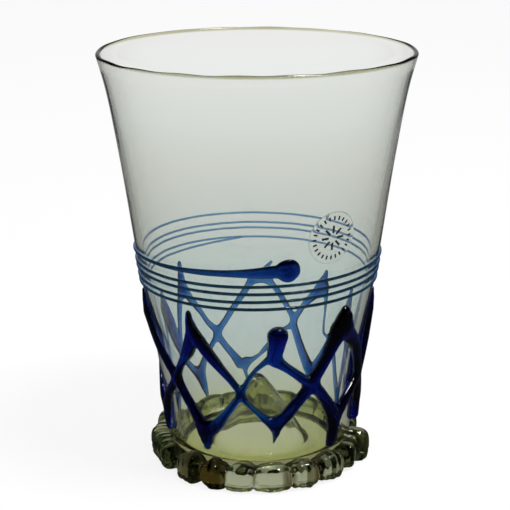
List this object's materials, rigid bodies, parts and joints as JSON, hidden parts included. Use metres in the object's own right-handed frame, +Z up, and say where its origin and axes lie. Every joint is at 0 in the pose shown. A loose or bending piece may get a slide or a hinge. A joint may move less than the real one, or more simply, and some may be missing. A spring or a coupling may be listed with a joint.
{
  "type": "drinking glass",
  "caption": "Hand-blown flared drinking glass with a pushed-up base, a pinched foot ring, a spiral thread and crossed zigzag trails on the wall.",
  "frame": {"origin": "centre of the base, on the surface that the glass stands on", "axes": "+Z up along the axis of the bowl, -Y towards the side that the picture shows"},
  "size_m": [0.0972, 0.0972, 0.13],
  "materials": {
    "bowl_glass": "clear, faintly smoky green, fire-polished",
    "foot_glass": "clear yellow-green, fire-polished",
    "thread_glass": "cobalt blue, fire-polished",
    "trail_glass": "deep cobalt blue, fire-polished",
    "label_film": "clear gloss film with small black marks"
  },
  "bodies": {
    "root": {"bowl": "bowl_glass", "foot_ring": "foot_glass", "spiral_thread": "thread_glass", "zigzag_trail_under": "trail_glass", "zigzag_trail_over": "trail_glass", "label_film": "label_film"}
  },
  "joints": []
}
